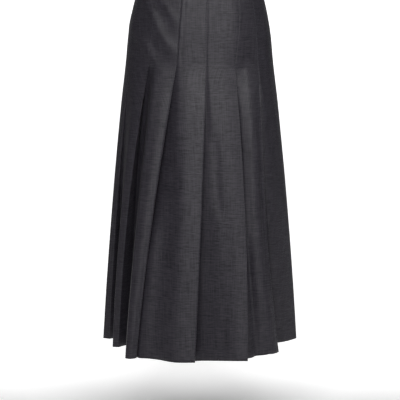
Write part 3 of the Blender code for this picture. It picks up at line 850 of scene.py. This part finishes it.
def studio_paper(name):
    """White paper that glows as painted light, by emission, behind the skirt and low down."""
    n = Nodes(name)
    spot = n.add("ShaderNodeSeparateXYZ",
                 Vector=n.add("ShaderNodeTexCoord").outputs["Object"])
    across, along, up = (spot.outputs[axis] for axis in "XYZ")
    behind = n.add("ShaderNodeMapRange", {"interpolation_type": "SMOOTHSTEP"}, Value=along,
                   From_Min=0.05, From_Max=0.50, To_Min=0.0, To_Max=0.58)
    edge = n.math("MULTIPLY_ADD", along, 0.08, 1.05)
    inside = n.spread(edge, n.math("ABSOLUTE", across), 4.0, clamp=True)
    below = n.spread(0.20, up, 4.0, clamp=True)
    # painted light: emission strength of the glow, strongest behind the skirt, fading toward the
    # sides and upward
    glow = n.math("MULTIPLY", n.math("MULTIPLY", behind.outputs["Result"], inside), below)
    glow = n.math("MULTIPLY", glow, n.math("MULTIPLY_ADD", along, 0.12, 1.0))
    n.shade(Base_Color=(0.90, 0.90, 0.90, 1.0), Roughness=0.9, Specular_IOR_Level=0.1,
            Emission_Color=(1.0, 1.0, 1.0, 1.0), Emission_Strength=glow)
    return n.material


# ---- stage ----------------------------------------------------------------------------------
FLOOR = -1.110
PAPER_HALF = 6.0         # half the backdrop's width, and how far it comes forward
PAPER_BEND = 4.6         # where it begins to curve up
PAPER_RADIUS = 1.2
PAPER_TOP = 4.0
CAMERA_AT = (0.0012, -3.4, 0.026)
CAMERA_TILT = 9.6        # degrees below level
FOCAL_PIXELS = 1430.0    # focal length in pixels of the picture
PICTURE_PIXELS = 400.0
SENSOR = 36.0
LIT_POINT = Vector((0.0, 0.0, -0.5))

# Degrees from the front toward the viewer's right and up, metres, and watts.
Light = namedtuple("Light", "name azimuth elevation distance size power")
LIGHTS = (
    Light("key_left", -10.0, 35.0, 3.2, 1.2, 54.0),
    Light("key_right", 18.0, 35.0, 3.2, 1.2, 50.0),
    Light("low", 3.0, 8.0, 3.2, 1.0, 19.0),
    Light("side_right", 70.0, 25.0, 3.2, 1.4, 10.0),
    Light("side_left", -70.0, 50.0, 3.2, 1.4, 8.0),
    Light("back", 180.0, 32.0, 3.2, 1.6, 26.0),
)


def make_camera():
    """The camera in front, a little above the waist, looking slightly down."""
    data = bpy.data.cameras.new("camera")
    data.sensor_width = SENSOR
    data.lens = FOCAL_PIXELS * SENSOR / PICTURE_PIXELS
    camera = bpy.data.objects.new("camera", data)
    camera.location = CAMERA_AT
    camera.rotation_euler = (radians(90.0 - CAMERA_TILT), 0.0, 0.0)
    bpy.context.scene.collection.objects.link(camera)
    bpy.context.scene.camera = camera


def make_light(light):
    """A square soft light that faces the middle of the skirt."""
    data = bpy.data.lights.new(light.name, "AREA")
    data.shape = "SQUARE"
    data.size = light.size
    data.energy = light.power
    item = bpy.data.objects.new(light.name, data)
    azimuth, elevation = radians(light.azimuth), radians(light.elevation)
    item.location = LIT_POINT + light.distance * Vector(
        (sin(azimuth) * cos(elevation), -cos(azimuth) * cos(elevation), sin(elevation)))
    item.rotation_euler = (LIT_POINT - item.location).to_track_quat("-Z", "Y").to_euler()
    bpy.context.scene.collection.objects.link(item)


def make_stage():
    """A pale floor that curves up into a backdrop."""
    bend_rows = 12
    profile = [(y, FLOOR) for y in (-PAPER_HALF, -3.0, 0.0, 3.0, PAPER_BEND)]
    for step in range(1, bend_rows + 1):
        angle = pi / 2 * step / bend_rows
        profile.append((PAPER_BEND + PAPER_RADIUS * sin(angle),
                        FLOOR + PAPER_RADIUS * (1 - cos(angle))))
    profile.append((PAPER_BEND + PAPER_RADIUS, PAPER_TOP))
    across = np.linspace(-PAPER_HALF, PAPER_HALF, 9)
    grid = np.array([[(x, y, z) for x in across] for y, z in profile])
    mesh = grid_mesh("backdrop", grid, cloth_uv(grid))
    mesh.materials.append(studio_paper("studio_paper"))
    item = bpy.data.objects.new("backdrop", mesh)
    bpy.context.scene.collection.objects.link(item)
    world = bpy.data.worlds.new("studio")
    world.use_nodes = True
    background = world.node_tree.nodes["Background"]
    background.inputs["Color"].default_value = (1.0, 1.0, 1.0, 1.0)
    background.inputs["Strength"].default_value = 0.06
    bpy.context.scene.world = world
    bpy.context.scene.view_settings.view_transform = "Standard"


# ---- build ----------------------------------------------------------------------------------
make_camera()
wool_cloth = wool("wool", (0.0094, 0.0085, 0.0112, 1.0), (0.0260, 0.0238, 0.0300, 1.0))
tape_cloth = wool("tape_weave", (0.022, 0.021, 0.026, 1.0), (0.045, 0.043, 0.050, 1.0), 0.0006)
metal = zip_metal("zip_metal")
for piece, cut in make_cloths(wool_cloth):
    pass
band = make_band(wool_cloth)
tape = make_tape(tape_cloth)
make_sewing(thread("sewing_thread", (0.008, 0.007, 0.009, 1.0), (0.030, 0.028, 0.034, 1.0), 0.50))
make_coil(thread("nylon_coil", (0.012, 0.011, 0.014, 1.0), (0.030, 0.029, 0.034, 1.0), 0.32))
for node in ("zip_slider", "zip_pull"):
    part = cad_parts[node]
    part.data.materials.clear()
    part.data.materials.append(metal)
for light in LIGHTS:
    make_light(light)
make_stage()
